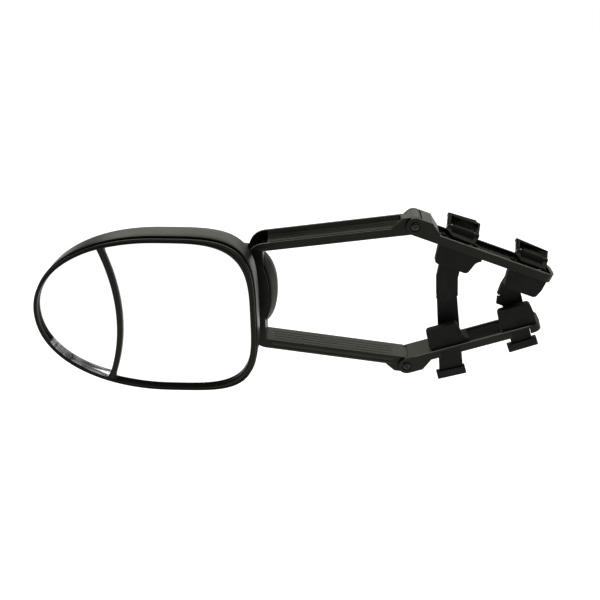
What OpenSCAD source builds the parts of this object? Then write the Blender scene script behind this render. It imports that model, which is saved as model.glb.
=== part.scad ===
// Clip-on towing mirror: an egg-shaped two-glass head on a ball joint, a U-shaped yoke, and two
// swinging clamp rails with rubber hooks, rubber straps and strap levers.
// Millimetres. +X runs from the mirror head to the clamp, +Y away from the driver, +Z up.
// The origin is the centre of the clamped space between the four rubber hooks.

/* [Mirror head] */
// Distance from the tallest section to the pointed end
head_tip = 130; // [124:1:134]
// Distance from the tallest section to the blunt end
head_heel = 91.5; // [88:0.5:94]
// Half height of the head
head_half = 84.5; // [80:0.5:88]
// Width of the bezel's front face
bezel_w = 5; // [4:0.5:6]
// Height of the ball joint above the clamp centre
head_z = 5; // [0:1:10]
// Radius of the convex spot mirror's surface
spot_r = 700; // [650:50:900]

/* [Ball joint] */
// Radius of the ball
ball_r = 11; // [10.5:0.1:11.2]
// Radius of the socket that holds the two friction cups
socket_r = 14; // [13.8:0.1:14.2]
// Radius of the stud's neck
neck_r = 4.5; // [4:0.1:5]

/* [Yoke] */
// Height of the knuckle pivots above and below the clamp centre
pivot_z = 80; // [76:1:84]
// Slope of each arm
arm_slope = 7.5; // [6:0.5:9]
// Radius of the knuckles, and the offset of every inner face from its pivot
knuckle_r = 9; // [8.5:0.5:9.5]
// Height of the upper arm's front flange
flange_upper = 8; // [7:0.5:10]
// Height of the lower arm's front flange
flange_lower = 10.5; // [9:0.5:12]
// Height of both arms' rear flange
flange_rear = 13; // [12:0.5:14]
// Width of the upright spine behind the head
spine_w = 17; // [16:0.5:18]

/* [Clamp rails] */
// Angle between the upper rail and the X axis
rail_slope = 20; // [18:0.5:21]
// Angle between the lower rail and the X axis
lower_slope = 18.8; // [17:0.1:20]
// Length of the upper rail from its pivot
upper_len = 151.5; // [149:0.5:153]
// Length of the lower rail from its pivot
lower_len = 145; // [144:0.5:150]
// Distance from the pivot to the first clamp station
station_near = 51; // [50:0.5:52]
// Distance between the clamp stations
station_gap = 76; // [74:1:77]
// Height of an upper rubber hook's lip; the lower ones are 4 mm higher
lip_h = 20.5; // [19:0.5:21]
// How far the lower hooks' lips sit nearer the pivots than the upper ones
lip_shift = 3; // [0:0.5:4]
// Radius of a knuckle screw's shank
screw_r = 2.5; // [2:0.1:3]

/* [Straps] */
// Width of the rubber strap
strap_w = 22; // [20:0.5:22]
// Thickness of the rubber strap
strap_t = 2; // [1.6:0.1:2]
// Length of the moulded bar on each strap's end
tbar_w = 31.5; // [29:0.5:32]

/* [Hidden] */
$fn = 64;
eps = 0.01;
run = 0.05;                                   // radial clearance of a running fit

// places in the X and Z plane
pivot_x = -(station_near + station_gap / 2) * cos(rail_slope);
head_x = pivot_x - 245;                       // tallest section of the head
spine_x = pivot_x - 151.5;                    // inner face of the spine
ball_x = pivot_x - 178;
stations = [station_near, station_near + station_gap];

// depths along Y
bezel_y = -70;
glass_y = -65.4;                              // front of the main glass
shell_front_y = -64;
shell_y = -60;                                // front of the carrier plate
shell_back_y = -30;
arm_y0 = -12;
arm_y1 = 15;
rail_y0 = -15;
rail_y1 = 15;
ball_y = 1.5;
hub_y = -15;                                  // front of the socket boss

// walls and small parts
wall = 2.5;
glass_t = 2;
left_power = 2.1;                             // roundness of the pointed end's outline
right_power = 4;                              // squareness of the blunt end's outline
divider_r = 200;
divider_w = 5.4;
divider_x = head_x - 44;
divider_z = 12;
egg_z = head_z - 1.6;                         // height of the middle of the head's outline
cheek = 3.7;                                  // thickness of a rail's knuckle cheek
washer_t = 0.8;
floor_n = -3.5;                               // height of a rail's recessed floor over its pivot line
slot_y = [-1.5, 8.8];                         // strap slot in rails and hook bases
slot_half = 14.5;
notches = [[-12.8, 8.8], [-12.8, 6.4]];       // openings in the lower rail's front flange at each station
seat_n = -6;                                  // height of the seat sunk into each rail's inner face
corner_r = 20;                                // outer corners of the yoke
pin_y = 5.5;
pin_n = 5.4;
pin_r = 1.5;
lever_lean = 33;
tail_y = 0.6;                                 // middle depths of the three strap layers
back_y = 3.8;
end_y = 6.8;

// ---------- shared shapes ----------

// extrudes an outline drawn in X and Z from depth y0 to y1
module upright(y0, y1) { translate([0, y1, 0]) rotate([90, 0, 0]) linear_extrude(y1 - y0) children(); }

// a rod along Y from y0 to y1
module rod_y(r, y0, y1) { translate([0, y0, 0]) rotate([-90, 0, 0]) cylinder(r = r, h = y1 - y0); }

// frames: +X runs along the rail or arm, +Z away from the clamped space
module on_rail() { translate([pivot_x, 0, pivot_z]) rotate([0, rail_slope, 0]) children(); }
module on_arm() { translate([pivot_x, 0, pivot_z]) rotate([0, -arm_slope, 0]) children(); }
module lower_side() { mirror([0, 0, 1]) children(); }
module on_lower_rail() lower_side() translate([pivot_x, 0, pivot_z]) rotate([0, lower_slope, 0]) children();
module at_ball() { translate([ball_x, ball_y, head_z]) children(); }

function arc(c, r, a0, a1, n) = [for (i = [0:n]) let (a = a0 + (a1 - a0) * i / n)
    [c[0] + r * cos(a), c[1] + r * sin(a)]];

// the head's outline, moved in by d: an ellipse-like point on the left, a squarer end on the right
function egg_point(t, d) = let (c = cos(t), s = sin(t), p = c < 0 ? 2 / left_power : 2 / right_power)
    [head_x + sign(c) * ((c < 0 ? head_tip : head_heel) - d) * pow(abs(c), p),
     egg_z + sign(s) * (head_half - d) * pow(abs(s), p)];
function egg(d, n = 96) = [for (i = [0:n - 1]) egg_point(360 * i / n, d)];

// a rounded box-like oval around the ball joint
function oval(a, b, n = 72) = [for (i = [0:n - 1]) let (c = cos(360 * i / n), s = sin(360 * i / n))
    [ball_x + sign(c) * a * pow(abs(c), 0.85), hub_z + sign(s) * b * pow(abs(s), 0.85)]];

// a closed solid through rings of equal point count; each ring is [depth, outline]
module loft(rings) {
    n = len(rings[0][1]);
    m = len(rings);
    points = [for (r = rings) for (p = r[1]) [p[0], r[0], p[1]]];
    sides = [for (k = [0:m - 2]) for (i = [0:n - 1]) let (j = (i + 1) % n)
        each [[k * n + i, k * n + j, (k + 1) * n + j], [k * n + i, (k + 1) * n + j, (k + 1) * n + i]]];
    caps = [[for (i = [n - 1:-1:0]) i], [for (i = [0:n - 1]) (m - 1) * n + i]];
    polyhedron(points, concat(sides, caps));
}

// a flat ribbon of width w along a path in X and Z
function ribbon_normal(p, i) = let (a = p[max(i - 1, 0)], b = p[min(i + 1, len(p) - 1)], d = b - a)
    [-d[1], d[0]] / norm(d);
function ribbon_side(p, h) = [for (i = [0:len(p) - 1]) p[i] + h * ribbon_normal(p, i)];
function flip(p) = [for (i = [len(p) - 1:-1:0]) p[i]];
function ribbon(p, w) = concat(ribbon_side(p, w / 2), flip(ribbon_side(p, -w / 2)));

// world X and Z of a point s along a rail and n out from its pivot line; side is 1 upper, -1 lower
function rail_point(s, n, side) = [pivot_x + s * cos(rail_slope) + n * sin(rail_slope),
                                   side * (pivot_z - s * sin(rail_slope) + n * cos(rail_slope))];

// a screw along +Y whose head faces -Y, with its shoulder at depth 0
module pan_screw(head_radius, head_h, shank_r, length) {
    difference() {
        union() {
            rotate([90, 0, 0]) rotate_extrude()
                polygon(concat([[0, 0], [head_radius, 0]],
                    [for (a = [20:14:90]) [head_radius * cos(a - 20), head_h * sin(a) / sin(90)]],
                    [[0, head_h]]));
            rod_y(shank_r, -eps, length);
        }
        for (a = [0, 90])
            rotate([0, a, 0]) translate([-head_radius * 0.6, -head_h - 1, -0.45])
                cube([head_radius * 1.2, 1 + head_h * 0.55, 0.9]);
    }
}

// ---------- yoke ----------

// world X and Z of a point x along an arm and n out from its pivot line; side is 1 upper, -1 lower
function arm_point(x, n, side = 1) = [pivot_x + x * cos(arm_slope) - n * sin(arm_slope),
                                      side * (pivot_z + x * sin(arm_slope) + n * cos(arm_slope))];

// half of the yoke's outline in X and Z, for one arm: from the spine's left edge over the rounded
// corner, along the arm's outer edge, round the knuckle and back along the inner edge to the spine
function half_outline(height, end_h, side) = let (
        n0 = height - knuckle_r,
        cx = spine_x - spine_w + corner_r,
        cz = pivot_z + (n0 - corner_r + (cx - pivot_x) * sin(arm_slope)) / cos(arm_slope),
        r = knuckle_r + 0.8,
        a = acos(-sqrt(r * r - pow(end_h - knuckle_r, 2)) / r),
        knuckle = [for (i = [0:10]) let (t = a + (180 + asin(knuckle_r / r) - a) * i / 10)
            arm_point(r * cos(t), r * sin(t), side)],
        corner = [for (p = arc([cx, cz], corner_r, 180, 90 + arm_slope, 12)) [p[0], side * p[1]]])
    concat(corner, [arm_point(-23, n0, side), arm_point(-12, end_h - knuckle_r, side)], knuckle,
           [inner_corner(knuckle_r, side)]);

// where the arm's face at depth n inside its pivot line meets the spine's matching face
function inner_corner(n, side) =
    let (x = (spine_x - (knuckle_r - n) - pivot_x - n * sin(arm_slope)) / cos(arm_slope))
    arm_point(x, -n, side);

module yoke_band(y0, y1, upper, lower, end_h) {
    upright(y0, y1) polygon(concat(half_outline(upper, end_h, 1), flip(half_outline(lower, end_h, -1))));
}

// everything outside the inner web, between the front and rear plates
module channel() {
    web_n = knuckle_r - wall;
    upright(arm_y0 + wall, arm_y1 - wall) polygon([
        arm_point(-13, -web_n, 1), arm_point(-13, 40, 1), [pivot_x - 200, pivot_z + 40],
        [pivot_x - 200, -pivot_z - 40], arm_point(-13, 40, -1), arm_point(-13, -web_n, -1),
        inner_corner(web_n, -1), inner_corner(web_n, 1)]);
}

module tongue() {
    y = rail_y1 - cheek - washer_t;
    on_arm() difference() {
        union() {
            rod_y(knuckle_r, -y, y);
            upright(-y, y) polygon([[-12.5, -8.6], [-12.5, flange_rear - knuckle_r - 0.5], [-6, 8.4],
                                    [0, 8.4], [0, -8.6]]);
        }
        rod_y(screw_r + run, -20, 20);
    }
}

module arm_ribs() on_arm() for (y = [-3.5, 4.5])
    translate([-150, y, -knuckle_r + wall - 0.5]) cube([137.3, 1.6, 3.5]);

module yoke() color([0.11, 0.11, 0.10]) difference() {
    union() {
        difference() {
            union() {
                yoke_band(arm_y0, 1, flange_upper, flange_lower, 2 * knuckle_r);
                yoke_band(1, arm_y1, flange_rear, flange_rear, flange_rear);
            }
            channel();
        }
        tongue();
        lower_side() tongue();
        arm_ribs();
        lower_side() arm_ribs();
        // oval hub shell, its front plate and the socket boss
        difference() {
            upright(arm_y0 - 0.3, hub_seam_y) polygon(oval(hub_a, hub_b));
            upright(arm_y0 + wall + 0.2, hub_seam_y + 1) polygon(oval(hub_a - wall, hub_b - wall));
        }
        at_ball() rod_y(boss_r, hub_y - ball_y, split_y);
        for (z = [-1, 1]) translate([ball_x, 0, hub_z + z * cover_screw_z]) rod_y(4, arm_y0 + 1, 19.9);
    }
    // clears the spine where the socket plate and the ball sit
    at_ball() rod_y(boss_r + 0.3, split_y, 30);
    at_ball() rotate([90, 0, 0]) sphere(r = socket_r + run, $fn = 96);
    at_ball() rotate([90, 0, 0]) cylinder(r1 = 0, r2 = 30 * tan(neck_swing), h = 30);
    for (a = socket_screw_angles) at_ball() rotate([0, a, 0]) translate([socket_screw_ring, 0, 0])
        rod_y(1.3, -11, split_y + 1);
    for (z = [-1, 1]) translate([ball_x, 0, hub_z + z * cover_screw_z]) rod_y(1.3, 3, 40);
}

split_y = 1;                          // the socket's two halves meet this far behind the ball's centre
hub_a = 31.5;
hub_b = 45.5;
hub_z = head_z - 3;                           // middle height of the hub's oval
hub_seam_y = 2;
boss_r = 22;
neck_swing = 41;
socket_screw_angles = [45, 135, 225, 315];
socket_screw_ring = 18.3;
cover_screw_z = 30.5;
cover_a = 39;
cover_b = 48.5;

module socket_plate() color([0.13, 0.13, 0.12]) at_ball() difference() {
    union() {
        rod_y(boss_r, split_y, 4.5);
        rod_y(socket_r + 1.8, split_y, 15.5);
    }
    sphere(r = socket_r + run, $fn = 96);
    for (a = socket_screw_angles) rotate([0, a, 0]) translate([socket_screw_ring, 0, 0]) rod_y(1.6, -1, 6);
}

module socket_screws() color([0.62, 0.62, 0.6])
    for (a = socket_screw_angles) at_ball() rotate([0, a, 0]) translate([socket_screw_ring, 4.5, 0])
        mirror([0, 1, 0]) pan_screw(2.4, 1.8, 1.3 - run, 12);

module rear_cover() color([0.12, 0.12, 0.11]) difference() {
    loft([[-6, oval(hub_a + 2.2, hub_b + 1.6)], [hub_seam_y + 1, oval(cover_a, cover_b)],
          [12, oval(cover_a, cover_b)], [17, oval(cover_a - 2, cover_b - 2)],
          [20.5, oval(cover_a - 6, cover_b - 6)], [22.5, oval(cover_a - 12, cover_b - 12)]]);
    loft([[-7, oval(hub_a + 0.4, hub_b + 0.4)], [hub_seam_y + 0.3, oval(hub_a + 0.4, hub_b + 0.4)],
          [hub_seam_y + 2, oval(cover_a - 2.7, cover_b - 2.7)], [12, oval(cover_a - 2.7, cover_b - 2.7)],
          [16, oval(cover_a - 5, cover_b - 5)], [18.5, oval(cover_a - 8, cover_b - 8)],
          [20, oval(cover_a - 14, cover_b - 14)]]);
    // room for the spine
    translate([spine_x - spine_w - 0.3, -8, -100]) cube([spine_w + 0.6, arm_y1 + 8.3, 200]);
    for (z = [-1, 1]) translate([ball_x, 0, hub_z + z * cover_screw_z]) {
        rod_y(1.7, 0, 40);
        rod_y(3.4, 20.5, 40);
    }
}

module cover_screws() color([0.15, 0.15, 0.15])
    for (z = [-1, 1]) translate([ball_x, 20.5, hub_z + z * cover_screw_z])
        mirror([0, 1, 0]) pan_screw(2.9, 1.8, 1.3 - run, 14);

// ---------- knuckles ----------

head_recess = 1.2;

module pivot_screws() color([0.2, 0.2, 0.2]) for (side = [1, -1])
    translate([pivot_x, rail_y0 + head_recess, side * pivot_z])
        pan_screw(4.2, 2.5, screw_r, rail_y1 - rail_y0 - head_recess + 0.6);

module pivot_nuts() color([0.6, 0.6, 0.58]) for (side = [1, -1])
    translate([pivot_x, rail_y1 - head_recess - 0.6, side * pivot_z]) rotate([-90, 0, 0]) difference() {
        cylinder(r = 4.4, h = 3, $fn = 6);
        translate([0, 0, -1]) cylinder(r = screw_r, h = 5);
    }

module friction_washers() color([0.85, 0.83, 0.75])
    for (side = [1, -1], y = [rail_y0 + cheek, rail_y1 - cheek - washer_t])
        translate([pivot_x, 0, side * pivot_z]) difference() {
            rod_y(knuckle_r - 0.6, y, y + washer_t);
            rod_y(screw_r + run, y - 1, y + washer_t + 1);
        }

// ---------- ball joint ----------

// a spherical liner between the ball and the socket, for the angles a0 to a1 from the stud's axis
module liner(a0, a1) rotate([90, 0, 0]) rotate_extrude($fn = 96) polygon(concat(
    arc([0, 0], ball_r + run, 90 - a0, 90 - a1, 16), arc([0, 0], socket_r, 90 - a1, 90 - a0, 16)));

module front_cup() color([0.88, 0.86, 0.8]) at_ball() liner(neck_swing, 80);
module rear_cup() color([0.88, 0.86, 0.8]) at_ball() liner(96, 165);

flange_y = shell_back_y + 0.5;
module ball_stud() color([0.6, 0.6, 0.62]) difference() {
    union() {
        at_ball() sphere(r = ball_r, $fn = 96);
        translate([ball_x, 0, head_z]) {
            rod_y(neck_r, flange_y, ball_y - 5);
            rod_y(16, flange_y, flange_y + 3);
        }
    }
    for (a = [90, 210, 330]) translate([ball_x, 0, head_z]) rotate([0, a, 0]) translate([11.5, 0, 0])
        rod_y(1.8, flange_y - 1, flange_y + 4);
}

module stud_screws() color([0.55, 0.55, 0.56])
    for (a = [90, 210, 330])
        translate([ball_x, flange_y + 3, head_z]) rotate([0, a, 0]) translate([11.5, 0, 0])
        mirror([0, 1, 0]) pan_screw(3, 1.8, 1.5 - run, 14);

// ---------- mirror head ----------

carrier_posts = [[-85, 0], [-20, 52], [-20, -52], [52, 58], [52, -58]];

module head_shell() color([0.14, 0.14, 0.13]) difference() {
    union() {
        difference() {
            loft([[shell_front_y, egg(0)], [-42, egg(0)], [-38.5, egg(0.5)], [-36, egg(2)], [-34, egg(4.6)],
                  [-31.8, egg(10)], [shell_back_y, egg(20)]]);
            loft([[shell_front_y - 1, egg(2.6)], [-42, egg(2.6)], [-39.5, egg(3.3)], [-37.5, egg(4.8)],
                  [-35.6, egg(7.3)], [-33.6, egg(13)], [shell_back_y - wall, egg(21)]]);
        }
        // stud seat on the back, stud screw bosses and carrier posts inside
        translate([ball_x, 0, head_z]) rod_y(17.5, -37, flange_y);
        for (a = [90, 210, 330]) translate([ball_x, 0, head_z]) rotate([0, a, 0]) translate([11.5, 0, 0])
            rod_y(3.6, -44, -33);
        for (p = carrier_posts) translate([head_x + p[0], 0, head_z + p[1]]) rod_y(4, -57.5, -31.5);
    }
    for (a = [90, 210, 330]) translate([ball_x, 0, head_z]) rotate([0, a, 0]) translate([11.5, 0, 0])
        rod_y(1.5, -42, -20);
    for (p = carrier_posts) translate([head_x + p[0], 0, head_z + p[1]]) rod_y(1.5, -60, -48);
}

// the bar between the two glasses, drawn w wide, with flared roots
module divider_outline(w) {
    difference() {
        translate([divider_x - divider_r, divider_z]) circle(r = divider_r + w / 2, $fn = 360);
        translate([divider_x - divider_r, divider_z]) circle(r = divider_r - w / 2, $fn = 360);
        translate([divider_x - 3 * divider_r, divider_z - divider_r]) square([2 * divider_r, 2 * divider_r]);
    }
}

module bezel() color([0.09, 0.09, 0.09]) difference() {
    union() {
        difference() {
            union() {
                upright(bezel_y, bezel_y + 3) polygon(egg(1));
                upright(bezel_y + 2, shell_front_y) polygon(egg(1.9));
            }
            upright(bezel_y - 1, shell_front_y + 1) polygon(egg(bezel_w));
            // shallow groove round the front face
            upright(bezel_y - 1, bezel_y + 0.8) difference() {
                polygon(egg(2.6));
                polygon(egg(3.4));
            }
        }
        intersection() {
            union() {
                upright(bezel_y + 0.6, glass_y) divider_outline(divider_w);
                upright(glass_y - eps, shell_y - 1) intersection() {
                    divider_outline(divider_w);
                    left_of_divider(0, bezel_w - 1);
                }
            }
            upright(bezel_y, shell_y) polygon(egg(bezel_w - 0.5));
        }
    }
    // seats of the two glasses
    upright(glass_y, shell_front_y + 1) right_of_divider(0.2, 3.2);
    intersection() {
        upright(bezel_y - 1, shell_y) left_of_divider(-0.2, 3.2);
        at_spot() sphere(r = spot_r + run, $fn = 360);
    }
}

// the side of the head's outline, moved in by inset, that lies left or right of the divider's middle line
module left_of_divider(gap, inset) {
    difference() {
        polygon(egg(inset));
        translate([divider_x + gap, head_z - 200]) square([400, 400]);
        difference() {
            translate([divider_x - divider_r, head_z - 200]) square([400, 400]);
            translate([divider_x - divider_r, divider_z]) circle(r = divider_r + gap, $fn = 360);
        }
    }
}

module right_of_divider(gap, inset) {
    difference() {
        polygon(egg(inset));
        translate([divider_x - divider_r, divider_z]) circle(r = divider_r + gap, $fn = 360);
        translate([divider_x - 300, head_z - 200]) square([300 - divider_r, 400]);
    }
}

module main_glass() color([0.8, 0.83, 0.85]) upright(glass_y, glass_y + glass_t) right_of_divider(0.4, 3.4);
module main_backing() color([0.2, 0.2, 0.2])
    upright(glass_y + glass_t, shell_y) offset(delta = -3) right_of_divider(0.4, 3.4);

// the spot glass is a piece of a thin sphere whose foremost point is near the divider's upper half
spot_front_y = -68.8;
module at_spot() { translate([head_x - 60, spot_front_y + spot_r, egg_z + 20]) children(); }

module spot_glass() color([0.8, 0.83, 0.85]) intersection() {
    upright(bezel_y, shell_y - run) left_of_divider(-0.4, 3.4);
    at_spot() difference() {
        sphere(r = spot_r, $fn = 360);
        sphere(r = spot_r - glass_t, $fn = 360);
    }
}

module spot_backing() color([0.2, 0.2, 0.2])
    translate([head_x - 80, 0, egg_z + 4]) rod_y(20, -65.2, shell_y);

module carrier_plate() color([0.1, 0.1, 0.1]) difference() {
    upright(shell_y, shell_y + wall) polygon(egg(5));
    for (p = carrier_posts) translate([head_x + p[0], 0, head_z + p[1]]) {
        rod_y(1.8, -62, -50);
        rod_y(3.4, -62, shell_y + 1.5);
    }
}

module carrier_screws() color([0.6, 0.6, 0.6]) for (p = carrier_posts)
    translate([head_x + p[0], shell_y + 1.5, head_z + p[1]]) pan_screw(3, 1.4, 1.5 - run, 9);

// ---------- clamp rails ----------

module rail_side(len) {
    polygon([[0, knuckle_r], [15, knuckle_r], [27, 0], [len, 0], [len, -knuckle_r], [0, -knuckle_r]]);
}

// plan view of the rail: round outer corners at the tip
module rail_plan(len) {
    translate([-1, rail_y0]) square([len - tip_r + 1, rail_y1 - rail_y0]);
    for (y = [rail_y0 + tip_r, rail_y1 - tip_r]) translate([len - tip_r, y]) circle(r = tip_r);
    translate([0, rail_y0 + tip_r]) square([len, rail_y1 - rail_y0 - 2 * tip_r]);
}

module rail_body(len) {
    difference() {
        union() {
            intersection() {
                upright(rail_y0, rail_y1) rail_side(len);
                translate([0, 0, -20]) linear_extrude(40) rail_plan(len);
            }
            rod_y(knuckle_r, rail_y0, rail_y1);
        }
        // recesses along the outer side and, for the hooks' bases, along the inner side
        translate([27, rail_y0 + wall, floor_n]) cube([len - 27 - 4, rail_y1 - rail_y0 - 2 * wall, 30]);
        translate([28, rail_y0 + wall, -20])
            cube([len - 28 - 3.8, rail_y1 - rail_y0 - 2 * wall, 20 + seat_n]);
        // room between the cheeks for the arm's tongue
        rod_y(knuckle_r + 0.8, rail_y0 + cheek, rail_y1 - cheek);
        translate([-20, rail_y0 + cheek, -20]) cube([20, rail_y1 - rail_y0 - 2 * cheek, 40]);
        // screw bore and its recesses
        rod_y(screw_r + run, rail_y0 - 1, rail_y1 + 1);
        rod_y(5.2, rail_y0 - 1, rail_y0 + head_recess);
        rod_y(5.2, rail_y1 - head_recess - 0.6, rail_y1 + 1);
        // strap slots and peg holes at each station
        for (s = stations) {
            translate([s - slot_half, slot_y[0], -20]) cube([2 * slot_half, slot_y[1] - slot_y[0], 30]);
            for (d = [-peg_ds, peg_ds]) if (s + d < len - 6)
                translate([s + d, peg_y, -20]) cylinder(r = peg_r, h = 30);
        }
    }
}

tip_r = 9;
peg_ds = 17.5;
peg_y = 2;
peg_r = 2;
post_in = 11.5;
post_out = 13;

module upper_rail() color([0.11, 0.11, 0.10]) on_rail() {
    rail_body(upper_len);
    // posts that carry the lever pins
    for (s = stations, d = [-post_out, post_in]) difference() {
        union() {
            translate([s + d, slot_y[1], floor_n - eps])
                cube([post_out - post_in, 3.2, pin_n - floor_n - 2.5]);
            translate([s + d, pin_y - 1, pin_n - 3.5])
                cube([post_out - post_in, slot_y[1] - pin_y + 2, 3.5]);
            translate([s + d, pin_y, pin_n]) rotate([0, 90, 0]) cylinder(r = 2.8, h = post_out - post_in);
        }
        translate([s + d - 1, pin_y, pin_n]) rotate([0, 90, 0]) cylinder(r = pin_r, h = 4);
    }
}

module lower_rail() color([0.11, 0.11, 0.10]) on_lower_rail() difference() {
    rail_body(lower_len);
    // the straps' ends pass down behind openings in the front flange
    for (i = [0, 1]) translate([stations[i] + notches[i][0], rail_y0 - 1, seat_n - 0.5])
        cube([notches[i][1] - notches[i][0], slot_y[0] - rail_y0 + 1 + eps, 20]);
}

lever_half = 17;
module lever_pins() color([0.6, 0.6, 0.6]) on_rail() for (s = stations)
    translate([s - lever_half, pin_y, pin_n]) rotate([0, 90, 0]) cylinder(r = pin_r, h = 2 * lever_half);

// a lever's plate; edge is the left end, length and turn of its thumb lip, panel the top of its panel
module lever(s, outline, edge, panel) color([0.13, 0.13, 0.12])
    on_rail() translate([s, pin_y, pin_n]) rotate([lever_lean, 0, 0]) difference() {
        union() {
            translate([0, 0, -1.2]) linear_extrude(2.4) polygon(outline);
            // bearing eyes on the pin, thumb lip and the rib along the left edge
            for (x = [-lever_half, lever_half - 3.8]) translate([x, 0, 0]) rotate([0, 90, 0])
                cylinder(r = 2.8, h = 3.8);
            translate([edge[0][0], edge[0][1], -1.2]) rotate([0, 0, edge[2]]) rotate([0, 90, 0])
                cylinder(r = 1.5, h = edge[1]);
            translate([-lever_half + 0.2, 3, 0]) cube([2, edge[0][1] - 4, 2.2]);
        }
        // window over the strap's loop and the pin's posts, and the shallow panel above it
        for (x = [-13.2, 11.3]) translate([x, -3.3, -5]) cube([1.9, 8.3, 10]);
        translate([-11.8, -6.3, -5]) cube([23.6, 10.5, 10]);
        translate([-13.5, 6, 0.6]) cube([28.5, panel - 6, 10]);
        translate([-20, 0, 0]) rotate([0, 90, 0]) cylinder(r = pin_r + run, h = 40);
    }

module lever_near() lever(stations[0], [[-18.2, 16.5], [12, 18.6], [12.6, 17], [17, 16.1], [17, -2.5],
    [13.5, -11.5], [-10, -10.8], [-17, -5]], [[-18, 15.2], 29.8, 4], 14.2);
module lever_far() lever(stations[1], [[-18.6, 14.8], [17, 12.3], [17, -8], [15.5, -11.2], [-11, -11.2],
    [-17, -5.5]], [[-18.4, 13.6], 35, -4], 11.2);

// a rubber hook: base sunk in the rail's inner face, lip over the driver's side, pegs through the rail;
// tip is how far the lip's end runs past the station, reach the base's end, pegs their places
module pad(s, height, shift, tip, reach = 20, pegs = [-peg_ds, peg_ds]) {
    r = 4;
    tip_n = -knuckle_r - height;
    flare = 8;
    base_y = rail_y1 - wall - 0.2;
    difference() {
        union() {
            translate([s - 21, -base_y, -knuckle_r]) cube([21 + reach, 2 * base_y, seat_n + knuckle_r]);
            intersection() {
                upright(lip_y, lip_y + 7) polygon(concat(
                    [[s - 21, -knuckle_r + 1], [s - 20.5 - shift / 2, -knuckle_r - 5]],
                    arc([s - 18 - shift + r, tip_n + r], r, 180, 270, 8),
                    arc([s + tip - shift - r, tip_n + r], r, 270, 350, 8),
                    arc([s + tip + 1.5 - shift + flare, -knuckle_r - 3 - flare], flare, 175, 105, 8),
                    [[s + 28, -knuckle_r - 2.5], [s + 28, -knuckle_r + 1]]));
                translate([s - 40, -20, -60]) cube([40 + reach, 40, 60]);
            }
        }
        translate([s - slot_half, slot_y[0], -40]) cube([2 * slot_half, slot_y[1] - slot_y[0], 60]);
    }
    for (d = pegs) translate([s + d, peg_y, seat_n - 1]) {
        cylinder(r = peg_r, h = floor_n - seat_n + 1);
        translate([0, 0, floor_n - seat_n + 1]) cylinder(r1 = peg_r + 0.8, r2 = peg_r, h = 1.6);
    }
}

lip_y = -12.2;
rubber = [0.16, 0.16, 0.155];
module pad_upper_near() color(rubber) on_rail() pad(stations[0], lip_h, 0, 19, 25.5);
module pad_upper_far() color(rubber) on_rail() pad(stations[1], lip_h, 0, 18.5);
module pad_lower_near() color(rubber) on_lower_rail() pad(stations[0], lip_h + 4, lip_shift, 16);
module pad_lower_far() color(rubber) on_lower_rail()
    pad(stations[1], lip_h + 4, lip_shift, 16, lower_len - stations[1] - 4, [-peg_ds]);

// ---------- straps ----------

// centre line in Y and height of the strap loop over a lever pin, from the tail leg to the back leg
fold_r = pin_r + 0.3 + strap_t / 2;
fold_dir = atan2(pin_n + 8, pin_y - (tail_y + back_y) / 2);
fold_path = concat([[tail_y, -8.6]], arc([pin_y, pin_n], fold_r, fold_dir + 90, fold_dir - 90, 12),
                   [[back_y, -8.6]]);

module strap_loop(s) on_rail() translate([s - strap_w / 2, 0, 0]) rotate([90, 0, 90])
    linear_extrude(strap_w) polygon(ribbon(fold_path, strap_t));

module strap_layer(path, y) upright(y - strap_t / 2, y + strap_t / 2) polygon(ribbon(path, strap_w));

near_slot = rail_point(stations[0], -8.3, 1);
far_slot = rail_point(stations[1], -8.3, 1);
near_path = [near_slot, near_slot + [-1.9, -5], near_slot + [-6.3, -25], near_slot + [-7.8, -36],
             near_slot + [-6.8, -50], near_slot + [-6.4, -55.8]];
far_path = [far_slot, far_slot + [-3, -4.5], far_slot + [-8.5, -11], far_slot + [-13, -21],
            far_slot + [-15.3, -31]];

// up through the slot, over the pin and back, in two layers; the front one is the strap's pointed tail
module strap_tail(path, s, left_drop, tip_drop, right_drop) color(rubber) {
    end = path[len(path) - 1];
    strap_loop(s);
    strap_layer(path, tail_y);
    upright(tail_y - strap_t / 2, tail_y + strap_t / 2)
        polygon([end + [-strap_w / 2, 0.5], end + [strap_w / 2, 0.5], end + [strap_w / 2, -right_drop],
                 end + [-1, -tip_drop], end + [-strap_w / 2, -left_drop]]);
    strap_layer(path, back_y);
}

module strap_near_tail() strap_tail(near_path, stations[0], 4, 11, 0.5);
module strap_far_tail() strap_tail(far_path, stations[1], 8, 12, 6);

// lower stretch: ribbon from the lapped end down through the slot to the moulded bar
module strap_end(top, bottom, top_w, bottom_w, tilt) color(rubber) {
    side = ribbon_normal([top, bottom], 0) / 2;
    upright(end_y - strap_t / 2, end_y + strap_t / 2)
        polygon([top + top_w * side, bottom + bottom_w * side,
                 bottom - bottom_w * side, top - top_w * side]);
    translate([bottom[0], end_y, bottom[1]]) rotate([0, -tilt, 0])
        translate([-tbar_w / 2, -3, -4.5]) cube([tbar_w, 6, 9.5]);
}

near_low = [near_slot[0], -near_slot[1]];
far_low = [far_slot[0], -far_slot[1]];
module strap_near_end()
    strap_end(near_low + [-7.6, 65], near_low + [6.2, -44.3], strap_w - 2, strap_w + 4, 16.5);
module strap_far_end() strap_end(far_low + [-14, 34], far_low + [8, -33.5], strap_w - 1, strap_w, 21);

yoke();
socket_plate();
socket_screws();
rear_cover();
cover_screws();
pivot_screws();
pivot_nuts();
friction_washers();
front_cup();
rear_cup();
head_shell();
bezel();
main_glass();
spot_glass();
main_backing();
spot_backing();
carrier_plate();
carrier_screws();
ball_stud();
stud_screws();
upper_rail();
pad_upper_near();
pad_upper_far();
strap_near_tail();
strap_far_tail();
lever_pins();
lever_near();
lever_far();
lower_rail();
pad_lower_near();
pad_lower_far();
strap_near_end();
strap_far_end();
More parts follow.
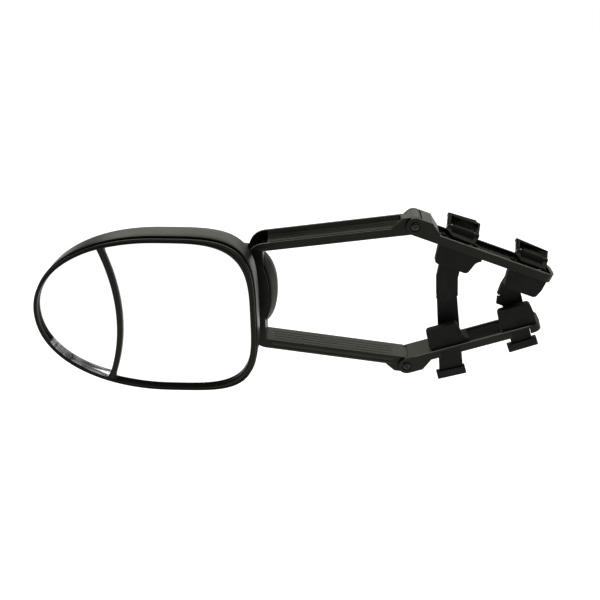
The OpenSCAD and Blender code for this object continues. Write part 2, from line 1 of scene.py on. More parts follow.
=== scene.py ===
import bpy, bmesh, math
from mathutils import Matrix, Vector


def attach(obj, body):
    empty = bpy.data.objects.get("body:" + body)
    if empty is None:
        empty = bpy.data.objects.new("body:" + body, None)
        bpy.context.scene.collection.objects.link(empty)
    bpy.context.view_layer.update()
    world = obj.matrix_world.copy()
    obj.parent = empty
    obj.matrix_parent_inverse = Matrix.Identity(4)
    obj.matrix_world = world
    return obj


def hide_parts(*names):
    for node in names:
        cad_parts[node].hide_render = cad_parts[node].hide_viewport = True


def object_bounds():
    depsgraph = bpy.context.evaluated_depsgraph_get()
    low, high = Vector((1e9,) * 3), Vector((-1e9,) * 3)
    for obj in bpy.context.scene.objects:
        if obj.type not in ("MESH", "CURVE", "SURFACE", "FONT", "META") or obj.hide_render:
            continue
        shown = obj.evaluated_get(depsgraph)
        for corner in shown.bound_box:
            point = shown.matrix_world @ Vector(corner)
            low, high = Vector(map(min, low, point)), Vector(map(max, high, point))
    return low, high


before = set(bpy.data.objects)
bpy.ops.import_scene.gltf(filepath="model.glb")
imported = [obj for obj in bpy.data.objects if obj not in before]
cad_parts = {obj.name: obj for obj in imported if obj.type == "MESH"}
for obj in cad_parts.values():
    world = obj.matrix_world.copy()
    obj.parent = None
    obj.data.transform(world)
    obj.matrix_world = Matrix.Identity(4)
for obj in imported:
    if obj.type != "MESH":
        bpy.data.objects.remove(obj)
cad_box = [list(c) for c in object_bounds()]

# ---------------------------------------------------------------- sizes, in millimetres
MM = 0.001
RAIL_SLOPE = {1: math.radians(20), -1: math.radians(18.8)}     # upper and lower clamp rails
ARM_SLOPE = math.radians(7.5)
PX = -89 * math.cos(RAIL_SLOPE[1])             # knuckle pivots
PZ = 80
BALL = Vector((PX - 178, 1.5, 5))
HX, HZ = PX - 245, 3.4                         # tallest section of the head
TIP, HEEL, HALF = 130, 91.5, 84.5              # the outline's reach to its point, its square end and upwards
FLAT_END, POINTED_END = 4.0, 2.1               # powers of the outline's two halves
DIV_X, DIV_Z, DIV_R, DIV_W = HX - 44, 12, 200, 5.4             # the divider's middle line and width
MID_X = DIV_X - DIV_R                          # centre of the divider's arc
SPOT_R = 700                                   # the convex glass's radius
SPOT = Vector((HX - 60, -68.8 + SPOT_R, HZ + 20))
GLASS_SEAT, GLASS_EDGE = 3.4, 4.62             # the glass's rim and its ground edge, in from the outline


# ---------------------------------------------------------------- mesh helpers
def new_object(name, verts, faces, smooth=True):
    """A mesh piece from points in millimetres."""
    me = bpy.data.meshes.new(name)
    me.from_pydata([Vector(v) * MM for v in verts], [], faces)
    me.update()
    bm = bmesh.new()
    bm.from_mesh(me)
    bmesh.ops.recalc_face_normals(bm, faces=bm.faces)
    bm.to_mesh(me)
    bm.free()
    me.polygons.foreach_set("use_smooth", [smooth] * len(me.polygons))
    ob = bpy.data.objects.new(name, me)
    bpy.context.scene.collection.objects.link(ob)
    return ob


def bake(ob):
    """Replaces the mesh by its evaluated one, so that no modifier is left."""
    dg = bpy.context.evaluated_depsgraph_get()
    me = bpy.data.meshes.new_from_object(ob.evaluated_get(dg), preserve_all_data_layers=True, depsgraph=dg)
    ob.modifiers.clear()
    ob.data = me
    return ob


def rounded(ob, width, segments=2, angle=30.0):
    """Rounds every edge sharper than angle by width mm, and settles the normals."""
    b = ob.modifiers.new("bevel", "BEVEL")
    b.width, b.segments, b.limit_method = width * MM, segments, "ANGLE"
    b.angle_limit = math.radians(angle)
    b.miter_outer = "MITER_ARC"
    b.use_clamp_overlap = True
    w = ob.modifiers.new("normals", "WEIGHTED_NORMAL")
    w.keep_sharp = False
    w.weight = 80
    bake(ob)
    return ob


def softened(node, width, segments=2, angle=30.0, join=0.004):
    """A copy of a CAD node's shape with every sharp edge rounded."""
    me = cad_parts[node].data.copy()
    bm = bmesh.new()
    bm.from_mesh(me)
    bmesh.ops.remove_doubles(bm, verts=bm.verts, dist=join * MM)
    bmesh.ops.dissolve_limit(bm, angle_limit=math.radians(0.8), verts=bm.verts, edges=bm.edges)
    bmesh.ops.dissolve_degenerate(bm, edges=bm.edges, dist=join * MM)
    bmesh.ops.recalc_face_normals(bm, faces=bm.faces)
    bm.to_mesh(me)
    bm.free()
    if me.has_custom_normals:
        me.attributes.remove(me.attributes["custom_normal"])
    me.materials.clear()
    me.polygons.foreach_set("use_smooth", [True] * len(me.polygons))
    ob = bpy.data.objects.new(node + "_soft", me)
    bpy.context.scene.collection.objects.link(ob)
    return rounded(ob, width, segments, angle)


def put(ob, body, material, slot, *nodes):
    """Gives a piece its material and body, and hides the CAD nodes that it stands for."""
    ob.data.materials.clear()
    ob.data.materials.append(material)
    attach(ob, body)
    if nodes:
        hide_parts(*nodes)
    return ob


def loft(name, rings, closed_profile=False, caps=True):
    """A skin through rings of equal point count."""
    n, m = len(rings[0]), len(rings)
    verts = [p for r in rings for p in r]
    faces = []
    for k in range(m if closed_profile else m - 1):
        a, b = k * n, ((k + 1) % m) * n
        faces += [(a + i, a + (i + 1) % n, b + (i + 1) % n, b + i) for i in range(n)]
    if caps and not closed_profile:
        faces += [tuple(range(n))[::-1], tuple((m - 1) * n + i for i in range(n))]
    return new_object(name, verts, faces)


def rail_at(s, y, n, side):
    """A point s along a rail, at depth y and n out from its pivot line; side is 1 for the upper rail."""
    c, q = math.cos(RAIL_SLOPE[side]), math.sin(RAIL_SLOPE[side])
    return PX + s * c + n * q, y, side * (PZ - s * q + n * c)


def arm_at(x, y, n, side):
    """The same on a yoke arm; x is negative towards the head."""
    c, q = math.cos(ARM_SLOPE), math.sin(ARM_SLOPE)
    return PX + x * c - n * q, y, side * (PZ + x * q + n * c)


def bar_along(name, place, side, stops, section):
    """A moulded bar of one cross-section of points (y, n), scaled at each stop (distance, scale)."""
    cy = sum(p[0] for p in section) / len(section)
    cn = sum(p[1] for p in section) / len(section)
    rings = [[place(s, cy + (y - cy) * f, cn + (n - cn) * f, side) for y, n in section] for s, f in stops]
    ob = loft(name, rings)
    ob.data.set_sharp_from_angle(angle=math.radians(50))
    return ob


def bead(y, n, ry, rn, count=12):
    """An oval section about (y, n)."""
    turns = [2 * math.pi * i / count for i in range(count)]
    return [(y + ry * math.cos(t), n + rn * math.sin(t)) for t in turns]


# ---------------------------------------------------------------- the head's outline
def clamped(v):
    return max(0.0, min(1.0, v))


def power(v, p):
    """v to the power p, keeping its sign."""
    return math.copysign(abs(v) ** p, v)


def egg_at(t, d, square=FLAT_END):
    """The point (x, z) at angle t on the outline moved in by d; square sets the flat end's corners."""
    c, s = math.cos(t), math.sin(t)
    p = 2 / POINTED_END if c < 0 else 2 / square
    return HX + power(c, p) * ((TIP if c < 0 else HEEL) - d), HZ + power(s, p) * (HALF - d)


def even_angles(n, fine=5760):
    """Angles that step evenly along the outline."""
    pts = [egg_at(2 * math.pi * i / fine, 0) for i in range(fine + 1)]
    run = [0.0]
    for a, b in zip(pts, pts[1:]):
        run.append(run[-1] + math.dist(a, b))
    out, k = [], 0
    for i in range(n):
        want = run[-1] * i / n
        while run[k + 1] < want:
            k += 1
        f = (want - run[k]) / (run[k + 1] - run[k])
        out.append(2 * math.pi * (k + f) / fine)
    return out


TURN = even_angles(240)


def egg_ring(y, d):
    """The outline moved in by d, at depth y."""
    return [(x, y, z) for x, z in (egg_at(t, d) for t in TURN)]


# ---------------------------------------------------------------- materials
def tree(name):
    m = bpy.data.materials.new(name)
    m.use_nodes = True
    nt = m.node_tree
    nt.nodes.clear()
    out = nt.nodes.new("ShaderNodeOutputMaterial")
    bsdf = nt.nodes.new("ShaderNodeBsdfPrincipled")
    nt.links.new(bsdf.outputs[0], out.inputs[0])
    return m, nt, bsdf


def noise(nt, coord, scale, detail=3.0, rough=0.55):
    n = nt.nodes.new("ShaderNodeTexNoise")
    n.inputs["Scale"].default_value = scale
    n.inputs["Detail"].default_value = detail
    n.inputs["Roughness"].default_value = rough
    nt.links.new(coord, n.inputs["Vector"])
    return n.outputs["Fac"]


def ramp(nt, fac, stops):
    r = nt.nodes.new("ShaderNodeValToRGB")
    while len(r.color_ramp.elements) < len(stops):
        r.color_ramp.elements.new(0.5)
    for e, (p, c) in zip(r.color_ramp.elements, stops):
        e.position = p
        e.color = (*c, 1) if len(c) == 3 else c
    nt.links.new(fac, r.inputs[0])
    return r.outputs[0]


def between(nt, fac, low, high):
    m = nt.nodes.new("ShaderNodeMapRange")
    m.inputs["To Min"].default_value, m.inputs["To Max"].default_value = low, high
    nt.links.new(fac, m.inputs["Value"])
    return m.outputs[0]


def math_node(nt, op, a, b):
    m = nt.nodes.new("ShaderNodeMath")
    m.operation = op
    for i, v in enumerate((a, b)):
        if isinstance(v, (int, float)):
            m.inputs[i].default_value = v
        else:
            nt.links.new(v, m.inputs[i])
    return m.outputs[0]


def bump(nt, bsdf, height, strength, distance):
    b = nt.nodes.new("ShaderNodeBump")
    b.inputs["Strength"].default_value = strength
    b.inputs["Distance"].default_value = distance * MM
    nt.links.new(height, b.inputs["Height"])
    nt.links.new(b.outputs[0], bsdf.inputs["Normal"])


def coords(nt):
    return nt.nodes.new("ShaderNodeTexCoord").outputs["Object"]


def edge_highlight_mask(nt, low=0.52, high=0.62):
    """1 on rounded outer edges, 0 elsewhere: the mask for the painted edge highlight."""
    g = nt.nodes.new("ShaderNodeNewGeometry")
    m = nt.nodes.new("ShaderNodeMapRange")
    m.inputs["From Min"].default_value, m.inputs["From Max"].default_value = low, high
    nt.links.new(g.outputs["Pointiness"], m.inputs["Value"])
    return m.outputs[0]


def moulded_plastic(name, dark, light, edge, rough, grain=1.0):
    """Moulded black plastic: spark-eroded grain, cloudy sheen, rounded edges painted lighter as a painted
    highlight.
    """
    m, nt, bsdf = tree(name)
    co = coords(nt)
    cloud = noise(nt, co, 38, 4)
    base = ramp(nt, cloud, [(0.3, dark), (0.72, light)])
    # painted highlight: the edge mask, in patches, mixes the lighter edge colour into the base
    mix = nt.nodes.new("ShaderNodeMix")
    mix.data_type = "RGBA"
    patchy = between(nt, noise(nt, co, 260, 3), 0.2, 0.9)
    nt.links.new(math_node(nt, "MULTIPLY", edge_highlight_mask(nt), patchy), mix.inputs[0])
    nt.links.new(base, mix.inputs[6])
    mix.inputs[7].default_value = (*edge, 1)
    nt.links.new(mix.outputs[2], bsdf.inputs["Base Color"])
    fine = noise(nt, co, 2600, 2, 0.6)
    smear = noise(nt, co, 16, 5, 0.6)
    smeared = between(nt, smear, rough - 0.09, rough + 0.09)
    nt.links.new(math_node(nt, "ADD", smeared, between(nt, fine, -0.03, 0.03)), bsdf.inputs["Roughness"])
    bsdf.inputs["Specular IOR Level"].default_value = 0.22
    bsdf.inputs["Specular Tint"].default_value = (1, 1, 0.86, 1)
    coarse = between(nt, noise(nt, co, 700, 2), 0, 0.6)
    bump(nt, bsdf, math_node(nt, "ADD", fine, coarse), 0.22 * grain, 0.05)
    return m


def rubber_material(name, dark, light, rough):
    """Moulded rubber: dull, with a fine tooth, faint bloom and scuffs."""
    m, nt, bsdf = tree(name)
    co = coords(nt)
    bloom = noise(nt, co, 55, 5, 0.62)
    nt.links.new(ramp(nt, bloom, [(0.32, dark), (0.75, light)]), bsdf.inputs["Base Color"])
    nt.links.new(between(nt, noise(nt, co, 130, 4), rough - 0.1, rough + 0.1), bsdf.inputs["Roughness"])
    bsdf.inputs["Specular IOR Level"].default_value = 0.22
    bsdf.inputs["Sheen Weight"].default_value = 0.03
    bsdf.inputs["Sheen Roughness"].default_value = 0.5
    tooth = noise(nt, co, 1900, 3, 0.7)
    height = math_node(nt, "ADD", tooth, between(nt, noise(nt, co, 320, 3), 0, 0.8))
    bump(nt, bsdf, height, 0.35, 0.06)
    return m


def steel_material(name, dark, light, rough, metallic=1.0):
    """Plated or blackened steel with turned and handled marks."""
    m, nt, bsdf = tree(name)
    co = coords(nt)
    nt.links.new(ramp(nt, noise(nt, co, 420, 4), [(0.3, dark), (0.7, light)]), bsdf.inputs["Base Color"])
    nt.links.new(between(nt, noise(nt, co, 900, 3), rough - 0.1, rough + 0.12), bsdf.inputs["Roughness"])
    bsdf.inputs["Metallic"].default_value = metallic
    bump(nt, bsdf, noise(nt, co, 1500, 2), 0.12, 0.03)
    return m


def mirror_material(name, tint):
    """Silvered glass: clean reflection, very faint wipe marks."""
    m, nt, bsdf = tree(name)
    co = coords(nt)
    wipe = noise(nt, co, 9, 6, 0.6)
    clean = tuple(min(1, c + 0.02) for c in tint)
    nt.links.new(ramp(nt, wipe, [(0.3, tint), (0.8, clean)]), bsdf.inputs["Base Color"])
    bsdf.inputs["Metallic"].default_value = 1.0
    nt.links.new(between(nt, noise(nt, co, 60, 5), 0.0, 0.018), bsdf.inputs["Roughness"])
    return m


# the third colour of each moulded plastic is its painted edge highlight
PLASTIC = moulded_plastic("satin_black_plastic", (0.009, 0.009, 0.0075), (0.015, 0.0148, 0.0125),
                          (0.07, 0.07, 0.058), 0.34)
# a lighter copy of the black plastic: painted light on the arms' stripes and the upper arm's web
PAINTED_LIGHT_PLASTIC = moulded_plastic("painted_light_black_plastic", (0.026, 0.026, 0.022), (0.042, 0.042, 0.035),
                        (0.09, 0.09, 0.075), 0.3)
# a light grey copy of the black plastic: the painted highlight along the rails' front edges
PAINTED_HIGHLIGHT_PLASTIC = moulded_plastic("painted_highlight_black_plastic", (0.14, 0.14, 0.125), (0.22, 0.22, 0.2),
                      (0.32, 0.32, 0.29), 0.24)
SHELL = moulded_plastic("shell_black_plastic", (0.008, 0.0082, 0.0065), (0.014, 0.0142, 0.0115),
                        (0.03, 0.03, 0.026), 0.32, 0.7)
COVER = moulded_plastic("cover_black_plastic", (0.014, 0.0145, 0.0115), (0.024, 0.0245, 0.019),
                        (0.05, 0.05, 0.042), 0.4)
INNER = moulded_plastic("inner_black_plastic", (0.006, 0.006, 0.006), (0.009, 0.009, 0.008),
                        (0.016, 0.016, 0.015), 0.55)
RUBBER = rubber_material("hook_rubber", (0.0095, 0.0092, 0.0082), (0.0185, 0.0178, 0.0155), 0.66)
# the darkest, roughest rubber: painted shade on the lower rail's web
SHADE_SHEET_RUBBER = rubber_material("painted_shade_rubber", (0.005, 0.005, 0.0045), (0.01, 0.01, 0.0085), 0.85)
STRAP = rubber_material("strap_rubber", (0.0085, 0.0083, 0.0078), (0.016, 0.0155, 0.0142), 0.6)
FOAM = rubber_material("foam_tape", (0.02, 0.02, 0.02), (0.035, 0.035, 0.035), 0.85)
NYLON = moulded_plastic("nylon", (0.62, 0.59, 0.5), (0.7, 0.68, 0.6), (0.75, 0.73, 0.66), 0.45)
STEEL = steel_material("zinc_plate", (0.42, 0.42, 0.4), (0.6, 0.6, 0.58), 0.32)
DARK_STEEL = steel_material("black_oxide_steel", (0.035, 0.035, 0.034), (0.075, 0.074, 0.07), 0.38, 0.85)
MIRROR = mirror_material("silvered_glass", (0.93, 0.94, 0.945))


def ground_material(name, tilt):
    """Ground and polished glass edge: bright, with streaks that run along it."""
    m, nt, bsdf = tree(name)
    turn = nt.nodes.new("ShaderNodeMapping")
    turn.inputs["Rotation"].default_value = (0, tilt, 0)
    nt.links.new(coords(nt), turn.inputs["Vector"])
    stretch = nt.nodes.new("ShaderNodeMapping")
    stretch.inputs["Scale"].default_value = (30, 60, 900)
    nt.links.new(turn.outputs[0], stretch.inputs["Vector"])
    streaks = noise(nt, stretch.outputs[0], 1, 3)
    shades = [(0.34, (0.2, 0.2, 0.24)), (0.62, (0.95, 0.96, 1.0))]
    nt.links.new(ramp(nt, streaks, shades), bsdf.inputs["Base Color"])
    bsdf.inputs["Metallic"].default_value = 0.8
    nt.links.new(between(nt, noise(nt, stretch.outputs[0], 2, 2), 0.12, 0.3), bsdf.inputs["Roughness"])
    return m


GROUND = ground_material("ground_glass_edge", math.radians(-28))

# ---------------------------------------------------------------- camera
cam = bpy.data.objects.new("camera", bpy.data.cameras.new("camera"))
bpy.context.scene.collection.objects.link(cam)
cam.data.sensor_width = 36
cam.data.lens = 45.56
cam.data.clip_start, cam.data.clip_end = 0.05, 60
forward = Vector((-0.0555, 0.8895, -0.4535)).normalized()
right = forward.cross(Vector((0, 0, 1))).normalized()
up = right.cross(forward)
roll = math.radians(-0.8)
across = right * math.cos(roll) + up * math.sin(roll)
upright = up * math.cos(roll) - right * math.sin(roll)
turn = Matrix((across, upright, -forward)).transposed().to_4x4()
cam.matrix_world = Matrix.Translation((-0.1540, -0.7150, 0.3549)) @ turn
bpy.context.scene.camera = cam

# ---------------------------------------------------------------- head
# depth and distance in from the outline: front lip, wall, rounded shoulder, back, and the inner face again
shell_profile = [(-64, 1.0), (-63.95, 0.5), (-63.7, 0.12), (-63.2, 0), (-56, 0), (-48, 0), (-43, 0.03),
                 (-40.5, 0.15), (-38.7, 0.5), (-37.2, 1.15), (-36, 2.05), (-34.9, 3.3), (-34, 4.7),
                 (-33.1, 6.7), (-32.3, 9), (-31.5, 11.6), (-30.8, 14.6), (-30.3, 17.4), (-30.06, 20.4),
                 (-30, 25), (-30, 32),
                 (-32.5, 32), (-32.5, 25), (-32.8, 19), (-33.6, 13), (-34.6, 9.8), (-35.8, 7.3),
                 (-37.5, 4.9), (-39.5, 3.4), (-42, 2.7), (-52, 2.6), (-63.7, 2.6), (-64, 2.3)]


def shell_mesh():
    """The shell as one skin; its flat back and the inner face behind it close the gap between the rings."""
    rings = [egg_ring(y, d) for y, d in shell_profile]
    n, m = len(TURN), len(rings)
    verts = [p for r in rings for p in r]
    faces = []
    back = shell_profile.index((-30, 32))
    for k in range(m):
        if k == back:
            continue
        a, b = k * n, ((k + 1) % m) * n
        faces += [(a + i, a + (i + 1) % n, b + (i + 1) % n, b + i) for i in range(n)]
    faces.append(tuple(back * n + i for i in range(n)))
    faces.append(tuple((back + 1) * n + i for i in range(n))[::-1])
    return new_object("head_shell_skin", verts, faces)


put(shell_mesh(), "head", SHELL, "shell_plastic", "head_shell")

# the seat on the shell's back for the stud's flange
seat = []
for y, r in ((-31, 18.6), (-30.2, 18.4), (-29.8, 18), (-29.55, 17.4), (-29.5, 16.6)):
    seat.append([(x, y, z) for x, z in bead(BALL.x, BALL.z, r, r, 96)])
put(loft("stud_seat", seat), "head", SHELL, "shell_plastic")


def bezel_ring(y, w):
    """w runs from 0 at the outline to 5 at the opening, whose corners are rounder than the outline's."""
    ring = []
    for t in TURN:
        f = clamped((w - 1) / 4)
        inner = 4.5 + 0.6 * clamped((math.cos(t) + 0.5) / 0.2) + 0.9 * clamped(math.cos(t)) ** 3
        a, b = egg_at(t, w), egg_at(t, inner + (w - 5), FLAT_END - 0.4 * f)
        ring.append((a[0] + (b[0] - a[0]) * f, y, a[1] + (b[1] - a[1]) * f))
    return ring


# back edge, dark groove, rounded front flange, two ridges with a valley between, inner wall, seat
bezel_profile = [(2.3, -64.0), (1.9, -64.0), (1.9, -66.6), (1.75, -66.95), (1.3, -67.05), (1.08, -67.3),
                 (1.0, -67.8), (1.0, -69.2), (1.12, -69.65), (1.4, -69.9), (1.8, -70.0), (2.15, -69.85),
                 (2.4, -69.5), (2.6, -69.3), (3.1, -69.3), (3.3, -69.5),
                 (3.5, -69.85), (3.85, -70.0), (4.3, -69.98), (4.7, -69.8), (4.93, -69.4), (5.0, -68.8),
                 (5.0, -65.9), (4.95, -65.6), (4.7, -65.45), (3.5, -65.42), (3.22, -65.3), (3.2, -64.3),
                 (3.0, -64.0)]
bezel = loft("bezel_ring", [bezel_ring(y, w) for w, y in bezel_profile], closed_profile=True)
put(bezel, "head", SHELL, "shell_plastic", "bezel")


def inside(x, z, d):
    """True where a point lies inside the outline moved in by d."""
    u, v = x - HX, z - HZ
    p = POINTED_END if u < 0 else FLAT_END
    a = (TIP if u < 0 else HEEL) - d
    return abs(u / a) ** p + abs(v / (HALF - d)) ** p < 1


def on_arc(r, a):
    """The point (x, z) at radius r and angle a about the divider's centre."""
    return MID_X + r * math.cos(a), DIV_Z + r * math.sin(a)


def arc_end(r, d, step):
    """The angle at which an arc about the divider's centre leaves the outline moved in by d."""
    a = 0.0
    while inside(*on_arc(r, a), d):
        a += step
    return a


def divider_section(flare):
    """Points (across, depth) round the divider: two ridges, and a foot that flare widens to the right."""
    h = DIV_W / 2
    return [(-h, -61.2), (-h, -68.5), (-h + 0.12, -69.0), (-h + 0.45, -69.3), (-h + 0.95, -69.4),
            (-h + 1.4, -69.25), (-h + 1.75, -68.9), (-h + 2.1, -68.9), (-h + 2.45, -69.2),
            (h - 1.9, -69.4), (h - 1.2, -69.25), (h - 0.5 + flare, -68.7), (h - 0.1 + flare, -67.8),
            (h + flare, -65.42), (0.3, -65.42), (0.2, -61.2)]


start, end = arc_end(DIV_R, 4.2, -0.0004), arc_end(DIV_R, 4.2, 0.0004)
bar = []
for i in range(81):
    f = i / 80
    a = start + (end - start) * f
    near = min(f, 1 - f) * abs(end - start) * DIV_R
    ring = []
    for q, y in divider_section(3.4 * math.exp(-near / 2.2)):
        x, z = on_arc(DIV_R + q, a)
        ring.append((x, y, z))
    bar.append(ring)
divider = loft("divider_bar", bar)
divider.data.set_sharp_from_angle(angle=math.radians(50))
put(divider, "head", SHELL, "shell_plastic")


def spot_outline():
    """The spot glass's edge: the divider's arc and the bezel's inner edge, as one loop."""
    r = DIV_R - 0.4
    top, bottom = arc_end(r, GLASS_SEAT, 0.0005), arc_end(r, GLASS_SEAT, -0.0005)
    arc = [on_arc(r, bottom + (top - bottom) * i / 60) for i in range(61)]
    rim = [egg_at(math.pi / 2 + math.pi * i / 400, GLASS_SEAT) for i in range(401)]
    return arc + [q for q in rim if math.hypot(q[0] - MID_X, q[1] - DIV_Z) < r - 0.3 and q[0] < DIV_X]


def spot_y(x, z, r=SPOT_R):
    """The convex glass's depth at (x, z), on the sphere of radius r."""
    return SPOT.y - math.sqrt(r * r - (x - SPOT.x) ** 2 - (z - SPOT.z) ** 2)


# front and back faces as rings round the apex, then the edge between them
edge = spot_outline()
steps = 16
n = len(edge)
verts, faces = [], []
for r in (SPOT_R, SPOT_R - 2):
    for k in range(1, steps + 1):
        for x, z in edge:
            px, pz = SPOT.x + (x - SPOT.x) * k / steps, SPOT.z + (z - SPOT.z) * k / steps
            verts.append((px, spot_y(px, pz, r), pz))
    verts.append((SPOT.x, spot_y(SPOT.x, SPOT.z, r), SPOT.z))
half = steps * n + 1
for o in (0, half):
    for k in range(steps - 1):
        a, b = o + k * n, o + (k + 1) * n
        faces += [(a + i, a + (i + 1) % n, b + (i + 1) % n, b + i) for i in range(n)]
    faces += [(o + half - 1, o + i, o + (i + 1) % n) for i in range(n)]
for i in range(n):
    a, b = (steps - 1) * n + i, (steps - 1) * n + (i + 1) % n
    faces.append((a, b, half + b, half + a))
spot = new_object("spot_glass_lens", verts, faces)
spot.data.set_sharp_from_angle(angle=math.radians(40))
put(spot, "head", MIRROR, "mirror_glass", "spot_glass")

# the spot glass's ground edge, which widens towards the divider's foot
ground = []
for i in range(161):
    t = math.radians(200 + 58 * i / 160)
    x, z = egg_at(t, GLASS_EDGE)
    if math.hypot(x - MID_X, z - DIV_Z) > DIV_R - DIV_W / 2 - 0.1:
        break
    f = clamped((x - HX + 104) / 42)
    width = 0.12 + 2.6 * f * f * (3 - 2 * f)
    row = []
    for u in (0, 0.25, 0.5, 0.75, 1):
        px, pz = egg_at(t, GLASS_EDGE + width * u)
        deep = spot_y(px, pz) - 0.05
        row.append((px, deep + (-68.9 - deep) * (1 - u) ** 1.5, pz))
    px, pz = egg_at(t, GLASS_EDGE + width)
    row += [(px, spot_y(px, pz) + 0.3, pz), (x, spot_y(x, z) + 0.3, z)]
    ground.append(row)
put(loft("spot_glass_ground_edge", ground), "head", GROUND, "mirror_glass")

# ---------------------------------------------------------------- moulded parts
put(softened("yoke", 0.55, 3), "yoke", PLASTIC, "black_plastic", "yoke")
put(softened("rear_cover", 0.6, 2, 35), "yoke", COVER, "black_plastic", "rear_cover")
put(softened("upper_rail", 0.55, 3), "upper_rail", PLASTIC, "black_plastic", "upper_rail")
put(softened("lower_rail", 0.55, 3), "lower_rail", PLASTIC, "black_plastic", "lower_rail")
for name in ("near", "far"):
    put(softened("lever_" + name, 0.4, 3), "lever_" + name, PLASTIC, "black_plastic", "lever_" + name)
    for side in ("upper", "lower"):
        node = f"pad_{side}_{name}"
        put(softened(node, 1.0, 4), side + "_rail", RUBBER, "rubber", node)
    put(softened(f"strap_{name}_end", 0.6, 3), "strap_" + name, STRAP, "strap_rubber", f"strap_{name}_end")
    put(softened(f"strap_{name}_tail", 0.4, 2), "upper_rail", STRAP, "strap_rubber", f"strap_{name}_tail")

# lengthwise mouldings on the arms: place across the arm (y, n), half sizes, material
ARM_ENDS = ((-147, 0.2), (-145.5, 0.7), (-143, 1), (-60, 1), (-19, 1), (-17, 0.7), (-16, 0.2))
# the mouldings in the lighter plastic are painted light: lighter stripes where light falls along the arms
ARM_TRIMS = {
    "lower_arm_bead": (-1, -12.05, -0.3, 0.55, 1.5, PAINTED_LIGHT_PLASTIC),
    "lower_arm_step": (-1, -12.0, -5.0, 0.4, 2.1, PAINTED_LIGHT_PLASTIC),
    "lower_arm_lip": (-1, -11.9, -8.75, 0.45, 0.4, PAINTED_LIGHT_PLASTIC),
    "lower_arm_line_a": (-1, -7.5, -8.98, 0.5, 0.22, PLASTIC),
    "lower_arm_line_b": (-1, -2.2, -8.98, 0.5, 0.25, PLASTIC),
    "lower_arm_line_c": (-1, 2.6, -8.98, 0.5, 0.22, PLASTIC),
    "lower_arm_line_d": (-1, 7.5, -8.98, 0.5, 0.25, PLASTIC),
    "upper_arm_bead": (1, -12.0, -7.9, 0.4, 0.9, PAINTED_LIGHT_PLASTIC),
    "upper_arm_edge": (1, -11.2, -1.0, 0.75, 0.35, PAINTED_LIGHT_PLASTIC),
    "upper_arm_line_a": (1, -6.8, -3.3, 0.6, 0.4, PAINTED_LIGHT_PLASTIC),
    "upper_arm_line_b": (1, -2.4, -3.2, 0.5, 0.4, PAINTED_LIGHT_PLASTIC),
    "upper_arm_line_c": (1, 3.4, -2.8, 0.6, 0.4, PAINTED_LIGHT_PLASTIC),
    "upper_arm_line_d": (1, 7.9, -1.3, 0.4, 0.35, PAINTED_LIGHT_PLASTIC),
    "upper_arm_line_e": (1, 10.4, 0.9, 0.4, 0.35, PAINTED_LIGHT_PLASTIC)}
for name, (side, y, n, ry, rn, material) in ARM_TRIMS.items():
    put(bar_along(name, arm_at, side, ARM_ENDS, bead(y, n, ry, rn)), "yoke", material, "black_plastic")

# the upper arm's raised web, which rises towards the back of its channel; its lighter plastic is painted
# light on the channel's floor
WEB_ENDS = ((-149, 1), (-148, 1), (-60, 1), (-15, 1), (-14, 1))
web = [(-9.5, -6.3), (12.4, -6.3), (12.4, 3.4), (11.6, 2.4), (10, 0.4), (8, -1.3), (5, -2.5), (0, -3.1),
       (-6, -3.4), (-9.5, -3.9)]
put(bar_along("upper_arm_web", arm_at, 1, WEB_ENDS, web), "yoke", PAINTED_LIGHT_PLASTIC, "black_plastic")

# a near-black matte sheet on the lower rail's web between its hooks: painted shade
SHADE_SHEET_ENDS = ((71.5, 0.98), (72.5, 1), (104, 1), (105, 0.98))
shade_sheet = [(-12.2, -6.1), (12.2, -6.1), (12.2, -8.2), (6, -8.0), (0, -7.9), (-6, -8.0), (-12.2, -8.2)]
put(bar_along("lower_rail_shade_sheet", rail_at, -1, SHADE_SHEET_ENDS, shade_sheet), "lower_rail", SHADE_SHEET_RUBBER, "rubber")

# the rounded rim along each rail's front flange, in a light plastic that is a painted highlight
UPPER_ENDS = ((24, 0.3), (27, 1), (90, 1), (140, 1), (143, 0.4))
LOWER_ENDS = ((8, 0.3), (12, 1), (80, 1), (133, 1), (136, 0.4))
for body, side, ends, section in (("upper_rail", 1, UPPER_ENDS, bead(-14.6, -0.1, 0.5, 0.5)),
                                  ("lower_rail", -1, LOWER_ENDS, bead(-14.6, -8.9, 0.55, 0.55))):
    put(bar_along(body + "_rim", rail_at, side, ends, section), body, PAINTED_HIGHLIGHT_PLASTIC, "black_plastic")

# the parts kept as the CAD made them
PLAIN = {INNER: ("socket_plate", "carrier_plate"), DARK_STEEL: ("cover_screws", "pivot_screws"),
         STEEL: ("socket_screws", "pivot_nuts", "carrier_screws", "ball_stud", "stud_screws", "lever_pins"),
         NYLON: ("friction_washers", "front_cup", "rear_cup"), MIRROR: ("main_glass",),
         FOAM: ("main_backing", "spot_backing")}
for material, nodes in PLAIN.items():
    for node in nodes:
        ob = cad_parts[node]
        for slot in ob.material_slots:
            slot.material = material
        if not ob.material_slots:
            ob.data.materials.append(material)

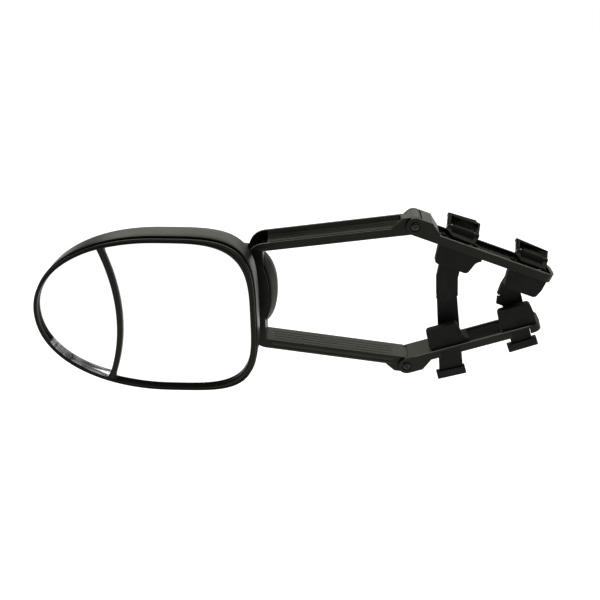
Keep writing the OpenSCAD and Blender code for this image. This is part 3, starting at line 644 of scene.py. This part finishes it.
# ---------------------------------------------------------------- stage
floor_z = cad_box[0][2] / MM - 420
reach = 40000
corners = [(x * reach, y * reach, floor_z) for x, y in ((-1, -1), (1, -1), (1, 1), (-1, 1))]
ground_plane = new_object("floor", corners, [(0, 1, 2, 3)], False)
pale, floor_nodes, floor_bsdf = tree("pale_floor")
mottle = noise(floor_nodes, coords(floor_nodes), 3, 3)
floor_nodes.links.new(ramp(floor_nodes, mottle, [(0.3, (0.42, 0.42, 0.42)), (0.7, (0.44, 0.44, 0.44))]),
                      floor_bsdf.inputs["Base Color"])
floor_bsdf.inputs["Roughness"].default_value = 0.9
floor_bsdf.inputs["Specular IOR Level"].default_value = 0.0
floor_bsdf.inputs["Emission Color"].default_value = (1, 1, 1, 1)
floor_bsdf.inputs["Emission Strength"].default_value = 0.9
ground_plane.data.materials.append(pale)

# a dim room, lighter towards the right and behind
world = bpy.data.worlds.new("studio")
bpy.context.scene.world = world
world.use_nodes = True
room = world.node_tree
background = room.nodes["Background"]
axes = room.nodes.new("ShaderNodeSeparateXYZ")
room.links.new(room.nodes.new("ShaderNodeTexCoord").outputs["Generated"], axes.inputs[0])
rightward = math_node(room, "MULTIPLY", axes.outputs[0], 0.8)
backward = math_node(room, "MULTIPLY", axes.outputs[1], 0.6)
fade = room.nodes.new("ShaderNodeMapRange")
fade.inputs["From Min"].default_value, fade.inputs["From Max"].default_value = -0.3, 0.9
fade.inputs["To Min"].default_value, fade.inputs["To Max"].default_value = 0.12, 0.6
room.links.new(math_node(room, "ADD", rightward, backward), fade.inputs["Value"])
background.inputs[0].default_value = (1, 1, 0.97, 1)
room.links.new(fade.outputs[0], background.inputs[1])


def softbox(name, where, aim, size, watts):
    """A rectangular lamp at where, turned towards aim, in metres."""
    lamp = bpy.data.lights.new(name, "AREA")
    lamp.shape, lamp.size, lamp.size_y, lamp.energy = "RECTANGLE", size[0], size[1], watts
    lamp.color = (1, 1, 0.92)
    ob = bpy.data.objects.new(name, lamp)
    ob.location = where
    ob.rotation_euler = (Vector(aim) - Vector(where)).to_track_quat("-Z", "Y").to_euler()
    bpy.context.scene.collection.objects.link(ob)


softbox("key_box", (0.25, 2.5, 1.35), (-0.15, 0, 0), (5.0, 1.6), 40)
softbox("top_box", (0.3, 0.2, 2.4), (-0.15, 0, 0), (1.6, 1.6), 26)
bpy.context.scene.view_settings.view_transform = "Standard"
bpy.context.scene.view_settings.gamma = 0.85
